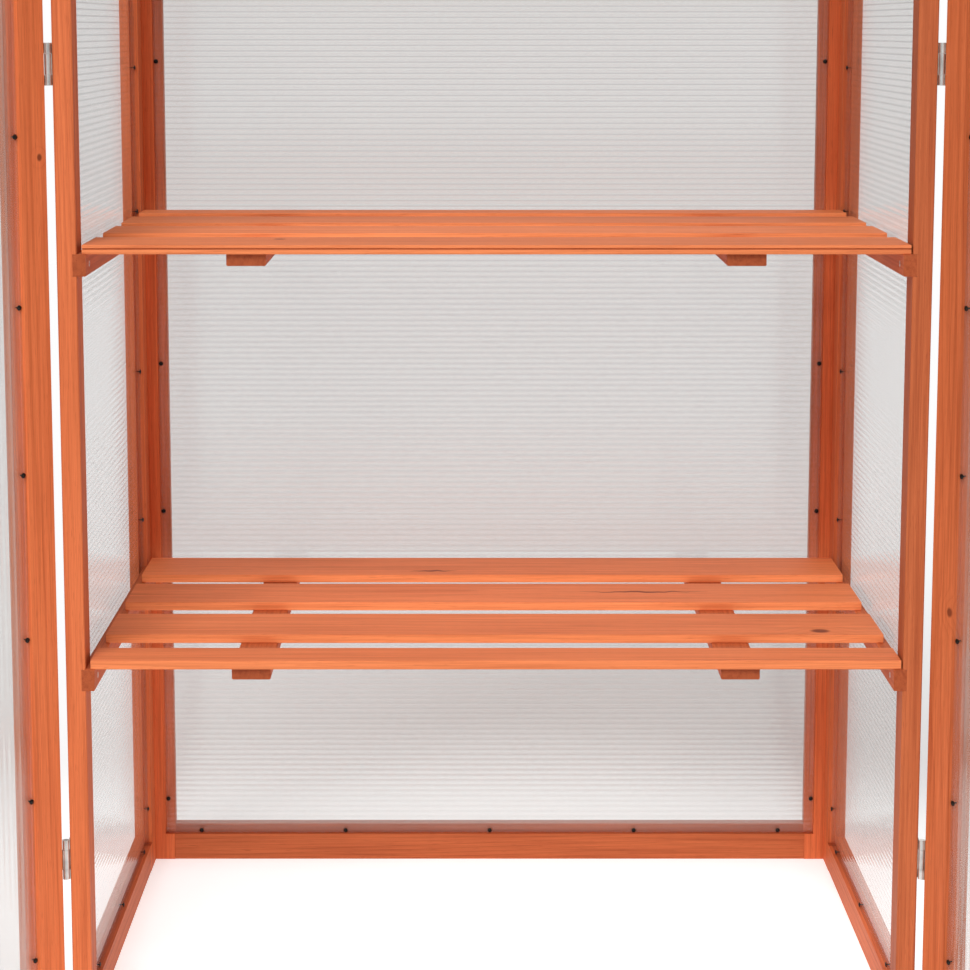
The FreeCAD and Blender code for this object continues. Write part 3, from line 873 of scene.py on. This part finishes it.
@dataclass
class PinHead:
    """Small sheet pin with a domed head and a tapered shank.

    The head is z = rim + (rise - rim) * (1 - (r / R)^2) over a straight rim.
    """

    radius_mm: float = 2.3
    rise_mm: float = 1.3
    rim_mm: float = 0.45
    shank_mm: float = 0.7
    bite_mm: float = 5.5
    steps: int = 18

    def surface(self) -> Surface:
        """Closed pin, its head's underside at z = 0.

        Returns:
            Points in millimetres, and triangles.
        """
        r = np.linspace(0, 1, 6)
        height = self.rim_mm + (self.rise_mm - self.rim_mm) * (1 - r**2)
        dome = np.stack([r * self.radius_mm, height], axis=1)
        taper = [self.shank_mm * 0.8, -self.bite_mm * 0.7]
        rest = [[self.radius_mm, 0], [self.shank_mm, 0], taper, [0, -self.bite_mm]]
        return lathe(np.vstack([dome, rest]), self.steps)

    def piece(self, node: str, body: str, material: Material) -> None:
        """Put a pin on the place of each of a node's pins.

        A part's shank ends in its farthest point from the middle, which gives
        the direction; the head's top lies the other way.

        Args:
            node: the node with the plain pins.
            body: its body.
            material: the pins' finish.
        """
        base, faces = self.surface()
        made = Mesh()
        for points in islands(frame["nodes"][node].data):
            middle = points.mean(axis=0)
            tip = points[np.argmax(np.linalg.norm(points - middle, axis=1))]
            rest = points[np.linalg.norm(points - tip, axis=1) > 2 * MM]
            out = rest.mean(axis=0) - tip
            out /= np.linalg.norm(out)
            seat = tip + out * ((points - tip) @ out).max() - out * self.rise_mm * MM
            turned = np.array(Vector(out).to_track_quat("Z", "Y").to_matrix())
            made.add(base @ turned.T * MM + seat, faces)
        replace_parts(made.piece(node + "_domed", material, body, "sheet_pin"), node)


@dataclass
class ScrewHead:
    """Countersunk screw head with a cross recess, as a height over a polar grid.

    Height at radius r and angle t is the dome, dome * (1 - (r / R)^2), less
    the recess depth where the point lies on one of the cross's two arms,
    which end at a share of the radius.
    """

    radius_mm: float = 2.7
    dome_mm: float = 0.45
    recess_mm: float = 0.8
    arm_mm: float = 0.5
    reach: float = 0.62
    sunk_mm: float = 0.5
    rings: int = 9
    steps: int = 32

    def surface(self, turn: float) -> Surface:
        """Closed head in millimetres, +Z outwards, its recess turned by an angle.

        Args:
            turn: angle of the cross recess, in radians.

        Returns:
            Points and triangles.
        """
        r = np.linspace(0, 1, self.rings)[1:, None] * self.radius_mm
        t = np.linspace(0, 2 * np.pi, self.steps, endpoint=False)[None, :]
        x, y = r * np.cos(t), r * np.sin(t)
        u, v = r * np.cos(t - turn), r * np.sin(t - turn)
        arm = np.minimum(np.abs(u), np.abs(v))
        reach = np.maximum(np.abs(u), np.abs(v))
        flank = np.clip((self.arm_mm * 1.5 - arm) / (self.arm_mm * 0.6), 0, 1)
        cross = flank * (reach < self.reach * self.radius_mm)
        z = self.dome_mm * (1 - (r / self.radius_mm) ** 2) - self.recess_mm * cross
        grid = np.stack([x, y, z], axis=-1).reshape(-1, 3)
        ends = [[0, 0, self.dome_mm - self.recess_mm], [0, 0, -self.sunk_mm]]
        return np.vstack([grid, ends]), shell(self.rings - 1, self.steps)

    def placed(self, seat: Vector, outward: Vector, turn: float) -> Surface:
        """The head on its seat.

        Args:
            seat: middle of the head's rim, in millimetres.
            outward: direction that the head faces.
            turn: angle of the recess.

        Returns:
            Points in metres, and triangles.
        """
        points, faces = self.surface(turn)
        turned = np.array(outward.to_track_quat("Z", "Y").to_matrix())
        return (points @ turned.T + np.array(seat)) * MM, faces


@dataclass
class Timber:
    """All wooden members of the greenhouse, dressed board by board."""

    finish: StainedFir = StainedFir(figure=0.75)
    # The slats' paler stain paints light on the shelves, which get less of it than the frame
    pale: StainedFir = StainedFir("#E38654", "#CE7042", "#B05A31", figure=0.6)

    def side_boards(self) -> list[Board]:
        """Members that come in pairs.

        Returns:
            The left and the right ones.
        """
        made = []
        for side, front_painted_shade in (("left", 1.0), ("right", 0.7)):
            # The tones paint light and shade: the right front stile darker, the rear and back stiles
            # lighter, the ledgers darker
            made += [
                Board(f"{side}_front_stile", Grain.UPRIGHT_SIDE, tone=front_painted_shade),
                Board(f"{side}_rear_stile", Grain.UPRIGHT_SIDE, tone=1.15),
                Board(f"{side}_top_rail", Grain.DEPTH_SIDE, ROOF_DEGREES),
                Board(f"{side}_bottom_rail", Grain.DEPTH_SIDE),
                Board(f"{side}_upper_ledger", Grain.DEPTH_SIDE, tone=0.85),
                Board(f"{side}_lower_ledger", Grain.DEPTH_SIDE, tone=0.85),
                Board(f"lid_{side}_rail", Grain.DEPTH_FLAT, ROOF_DEGREES),
                Board(f"back_{side}_stile", Grain.UPRIGHT_BACK, tone=1.15),
            ]
        return made

    def cross_boards(self) -> list[Board]:
        """Rails that run from side to side."""
        return [
            Board("back_top_rail", Grain.ACROSS_BACK),
            # Painted shade: the back bottom rail is darker
            Board("back_bottom_rail", Grain.ACROSS_BACK, tone=0.8),
            Board("front_top_rail", Grain.ACROSS_BACK),
            Board("front_bottom_rail", Grain.ACROSS_BACK),
            Board("lid_front_rail", Grain.ACROSS_FLAT, ROOF_DEGREES),
            Board("lid_rear_rail", Grain.ACROSS_FLAT, ROOF_DEGREES),
        ]

    def door_boards(self) -> list[Board]:
        """Members of the two open doors."""
        left_up, right_up = Grain.LEFT_DOOR_UP, Grain.RIGHT_DOOR_UP
        return [
            # The tones paint light and shade: the left door's members lighter, the right door's hinge
            # stile darker
            Board("left_door_hinge_stile", left_up, knots=((271, -11, 3),), tone=1.15),
            Board("left_door_meeting_stile", left_up, knots=((-210, -4, 5),), tone=1.1),
            Board("left_door_top_rail", Grain.LEFT_DOOR_OUT, tone=1.1),
            Board("left_door_bottom_rail", Grain.LEFT_DOOR_OUT, tone=1.1),
            Board("turn_button", left_up),
            Board("right_door_hinge_stile", right_up, knots=((-120, 5, 4),), tone=0.86),
            Board("right_door_meeting_stile", right_up),
            Board("right_door_top_rail", Grain.RIGHT_DOOR_OUT),
            Board("right_door_bottom_rail", Grain.RIGHT_DOOR_OUT),
        ]

    def shelf_boards(self) -> list[Board]:
        """Boards of the shelves.

        Returns:
            Slats, painted lighter towards the back where less light reaches them, and the battens under
            them, painted darker.
        """
        knotted = {"lower_shelf_slat_2": ((299, -26, 8),), "upper_shelf_slat_1": ((-190, 20, 5),)}
        split = {"lower_shelf_slat_3": ((148, 4, 130),), "lower_shelf_slat_4": ((-60, -22, 50),)}
        made = []
        for shelf in ("lower", "upper"):
            for number in range(1, 5):
                node = f"{shelf}_shelf_slat_{number}"
                knots, shakes = knotted.get(node, ()), split.get(node, ())
                # Painted light: each slat a little lighter than the one in front, as less light reaches
                # the back of the shelf
                tone = 1.0 + 0.07 * number
                made.append(Board(node, Grain.ACROSS_FLAT, knots=knots, shakes=shakes, tone=tone))
            # Painted shade: the battens under the slats are darker
            made.append(Board(f"{shelf}_shelf_battens", Grain.DEPTH_FLAT, tone=0.84))
        return made

    def dress(self) -> None:
        """Give each board its own cut of the stained fir, the slats a paler one that paints light on
        the shelves.
        """
        carcass = [*self.side_boards(), *self.cross_boards()]
        for board in (*carcass, *self.door_boards(), *self.shelf_boards()):
            wood = self.pale if "slat" in board.node else self.finish
            repaint(board.node, wood.make(board))


@dataclass
class Glazing:
    """The six twin-wall sheets and the pins along their edges.

    The side walls are seen at a slant, where the ribs show more.
    """

    sheet: TwinWallSheet = TwinWallSheet()
    walls: TwinWallSheet = TwinWallSheet(alpha=0.31, rib_alpha=0.11)
    pins: BlackedSteel = BlackedSteel()

    def dress(self) -> None:
        """Dress the sheets by the way that their ribs run, and the pins."""
        back = self.finishes("back", Flutes.UP, self.sheet)
        FlutedSheet("back_sheet", "cabinet", Flutes.UP).piece(*back)
        walls = self.finishes("side_walls", Flutes.UP, self.walls)
        for node in ("left_sheet", "right_sheet"):
            FlutedSheet(node, "cabinet", Flutes.UP).piece(*walls)
        moving = {"left_door": Flutes.LEFT_DOOR, "right_door": Flutes.RIGHT_DOOR, "lid": Flutes.LID}
        for body, flutes in moving.items():
            finishes = self.finishes(body, flutes, self.sheet)
            FlutedSheet(f"{body}_sheet", body, flutes).piece(*finishes)
        black = self.pins.make("blacked_pin_heads")
        for body in ("cabinet", "left_door", "right_door", "lid"):
            PinHead().piece(f"{body}_sheet_pins", body, black)

    def finishes(self, name: str, flutes: Flutes, sheet: TwinWallSheet) -> tuple[Material, Material]:
        """A sheet's finish in the opening, and that of its strip on the wood."""
        clear = sheet.make(f"twin_wall_{name}", flutes)
        return clear, sheet.make(f"twin_wall_{name}_laid", flutes, laid=True)


@dataclass
class Fittings:
    """Hinges, prop, screws and nails: the steel of the greenhouse."""

    steel: ZincedSteel = ZincedSteel()
    head: ScrewHead = field(default_factory=ScrewHead)
    zinc: Material = field(init=False)
    leaf_reach_mm: float = 8.5
    screw_rise_mm: float = 11.0
    ledger_screw_mm: float = 19.0
    nail_wander_mm: float = 5.0
    nodes: tuple[str, ...] = (
        *("hinge_frame_leaves", "hinge_pins", "lid_hinge_leaves"),
        *("left_door_hinge_leaves", "right_door_hinge_leaves"),
        *("lid_prop", "prop_screw", "prop_peg", "turn_button_screw"),
    )

    def __post_init__(self) -> None:
        """Make the one finish that all of them share."""
        self.zinc = self.steel.make("zinced_pressed_steel")

    def dress(self) -> None:
        """Dress the steel nodes, and add the screws' heads and the nails."""
        for node in self.nodes:
            repaint(node, self.zinc)
        self.door_screws("left", -1, -LEFT_OPEN)
        self.door_screws("right", 1, RIGHT_OPEN)
        self.lid_screws()
        self.ledger_screws()
        for shelf in ("upper", "lower"):
            self.nails(shelf)

    def nails(self, shelf: str) -> None:
        """Nails driven up through the battens, one under each slat.

        Args:
            shelf: "upper" or "lower".
        """
        heads = Mesh()
        rounded = [[0, 0.35], [1.2, 0.32], [1.6, 0.15], [1.6, 0]]
        base, faces = lathe(np.array([*rounded, [0.8, -0.05], [0, -4.0]]), 20)
        # Half a turn about X, so that the heads look down
        base[:, 1:] *= -1
        spread = seeded(shelf + "_shelf_nails")
        for part in islands(frame["nodes"][f"{shelf}_shelf_battens"].data):
            middle, bottom = part[:, 0].mean(), part[:, 2].min()
            for number in range(1, 5):
                low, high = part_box(f"{shelf}_shelf_slat_{number}")
                wander = spread.uniform(-self.nail_wander_mm, self.nail_wander_mm, 2) * MM
                seat = (middle + wander[0], (low.y + high.y) / 2 + wander[1], bottom)
                heads.add(base * MM + seat, faces)
        heads.piece(f"{shelf}_shelf_nails", self.zinc, f"{shelf}_shelf", "bright_steel")

    def hinge_screws(
        self,
        name: str,
        middles: Sequence[Vector],
        directions: tuple[Vector, Vector, Vector],
        turn: Matrix,
    ) -> tuple[Mesh, Mesh]:
        """Two screws in each leaf of the hinges on one axis.

        Args:
            name: start of the random draws' name.
            middles: the hinges' middles, on their axis.
            directions: out of the leaves' faces, from the axis to the fixed
                leaf's screws, and along the axis.
            turn: rotation of the moving part, from shut to rest.

        Returns:
            Heads on the fixed leaves and on the moving ones.
        """
        outward, aside, along = directions
        # The leaves' faces lie a little inside the axis
        face = outward * (HINGE_LEAF_FACE - HINGE_AXIS_X)
        reach = aside * self.leaf_reach_mm
        fixed, moving = Mesh(), Mesh()
        chance = seeded(name + "_hinge_screws")
        for middle in middles:
            for rise in (-self.screw_rise_mm, self.screw_rise_mm):
                axis = middle + along * rise
                fixed.add(*self.head.placed(axis + face + reach, outward, chance.uniform(0, 3)))
                seat = axis + turn @ (face - reach)
                moving.add(*self.head.placed(seat, turn @ outward, chance.uniform(0, 3)))
        return fixed, moving

    def door_screws(self, side: str, sign: int, degrees: float) -> None:
        """Screws of a door's two hinges.

        Args:
            side: "left" or "right".
            sign: -1 on the left, 1 on the right.
            degrees: how far the door was turned, from shut to rest.
        """
        low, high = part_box("left_door_hinge_leaves")
        heights = (low.z / MM + HINGE_HEIGHT / 2, high.z / MM - HINGE_HEIGHT / 2)
        middles = [Vector((sign * HINGE_AXIS_X, HINGE_AXIS_Y, z)) for z in heights]
        turn = Matrix.Rotation(math.radians(degrees), 3, "Z")
        fixed, moving = self.hinge_screws(side, middles, (X * sign, Y, Z), turn)
        fixed.piece(f"{side}_frame_hinge_screws", self.zinc, "cabinet", "bright_steel")
        moving.piece(f"{side}_door_hinge_screws", self.zinc, f"{side}_door", "bright_steel")

    def lid_screws(self) -> None:
        """Screws of the lid's hinges, on the back."""
        middles = [Vector((x, LID_AXIS_Y, LID_AXIS_Z)) for x in (-LID_HINGE_X, LID_HINGE_X)]
        turn = Matrix.Rotation(math.radians(ROOF_DEGREES), 3, "X")
        fixed, moving = self.hinge_screws("lid", middles, (Y, -Z, X), turn)
        fixed.piece("back_hinge_screws", self.zinc, "cabinet", "bright_steel")
        moving.piece("lid_hinge_screws", self.zinc, "lid", "bright_steel")

    def ledger_screws(self) -> None:
        """A screw through each end of each ledger into the stile behind it."""
        heads = Mesh()
        chance = seeded("ledger_screws")
        for sign in (-1, 1):
            for top in LEDGER_TOPS:
                for along in (self.ledger_screw_mm, SIDE_DEPTH - self.ledger_screw_mm):
                    seat = Vector((sign * LEDGER_FACE, FRONT_Y + along, top - LEDGER_HEIGHT / 2))
                    heads.add(*self.head.placed(seat, -sign * X, chance.uniform(0, 3)))
        heads.piece("ledger_screws", self.zinc, "cabinet", "bright_steel")


@dataclass(frozen=True)
class Lamp:
    """Wide soft light that reaches all of the floor evenly.

    Its bearing is in degrees to the right of straight in front, its height in
    degrees above level, and its strength the light on a face turned to it.
    """

    name: str
    bearing: float
    height: float
    strength: float
    width: float = 32.0

    def hang(self) -> None:
        """Make the light."""
        light = bpy.data.lights.new(self.name, "SUN")
        light.energy = self.strength
        light.angle = math.radians(self.width)
        made = put(self.name, light)
        side, rise = math.radians(self.bearing), math.radians(self.height)
        level = X * math.sin(side) - Y * math.cos(side)
        towards = level * math.cos(rise) + Z * math.sin(rise)
        made.location = towards * 4
        made.rotation_euler = (-towards).to_track_quat("-Z", "Y").to_euler()


@dataclass
class Studio:
    """Pale floor, soft lights and the camera in front of the open doors.

    The camera looks down a little more than the photograph's did, with less
    shift, so that the other views show the whole object.
    """

    eye_mm: Triple = (-21.8, -2057.6, 884.1)
    pitch_degrees: float = 7.62
    lens_mm: float = 89.1
    shift: tuple[float, float] = (0.0162, -0.14)
    floor_m: float = 14.0
    glow: float = 0.62
    glow_full_m: float = 0.32
    glow_end_m: float = 0.8
    glow_centre: Triple = (0.0, 0.2, 0.0)
    sky_light: float = 0.45
    lamps: tuple[Lamp, ...] = (
        Lamp("key", -16, 40, 2.1),
        Lamp("top", 60, 84, 0.75),
        Lamp("back", 168, 38, 0.5),
    )

    def build(self) -> None:
        """Set the stage."""
        self.floor()
        self.sky()
        for lamp in self.lamps:
            lamp.hang()
        self.camera()

    def floor(self) -> None:
        """Flat pale floor, with a soft light of its own where the greenhouse shades it."""
        half = self.floor_m / 2
        corners = [(-half, -half, 0), (half, -half, 0), (half, half, 0), (-half, half, 0)]
        mesh = bpy.data.meshes.new("studio_floor")
        mesh.from_pydata(corners, [], [(0, 1, 2, 3)])
        graph = Graph(bpy.data.materials.new("pale_studio_floor"))
        place = graph.add("TexCoord").outputs["Object"]
        away = graph.add("VectorMath", place, self.glow_centre, operation="DISTANCE")
        glow = (self.glow_full_m, self.glow_end_m, self.glow, 0.0)
        pale = graph.finish(
            Base_Color=linear("#EAEAEA"),
            Emission_Color=linear("#F3FDFF"),
            Emission_Strength=graph.add("MapRange", away, *glow, **EASED),
            Roughness=0.9,
        )
        mesh.materials.append(pale)
        put("studio_floor", mesh)

    def sky(self) -> None:
        """White backdrop all round, which gives less light than it shows."""
        graph = Graph(bpy.data.worlds.new("white_surroundings"))
        seen = graph.add("LightPath").outputs["Is Camera Ray"]
        level = graph.add("MapRange", seen, 0.0, 1.0, self.sky_light, 1.0)
        bpy.context.scene.world = graph.finish(Color=WHITE, Strength=level)
        bpy.context.scene.view_settings.view_transform = "Standard"

    def camera(self) -> None:
        """Camera at the photograph's viewing angle."""
        data = bpy.data.cameras.new("camera")
        data.lens = self.lens_mm
        data.sensor_width = 36.0
        data.shift_x, data.shift_y = self.shift
        made = put("camera", data)
        made.location = Vector(self.eye_mm) * MM
        made.rotation_euler = (math.radians(90 - self.pitch_degrees), 0, 0)
        bpy.context.scene.camera = made


def main() -> None:
    """Dress and complete the greenhouse, then set it in the studio."""
    logging.basicConfig(level=logging.INFO, format="%(name)s %(message)s")
    for part in (Timber(), Glazing(), Fittings()):
        part.dress()
        LOG.info("dressed %s", type(part).__name__)
    Studio().build()
    bpy.context.view_layer.update()


if __name__ == "__main__":
    main()
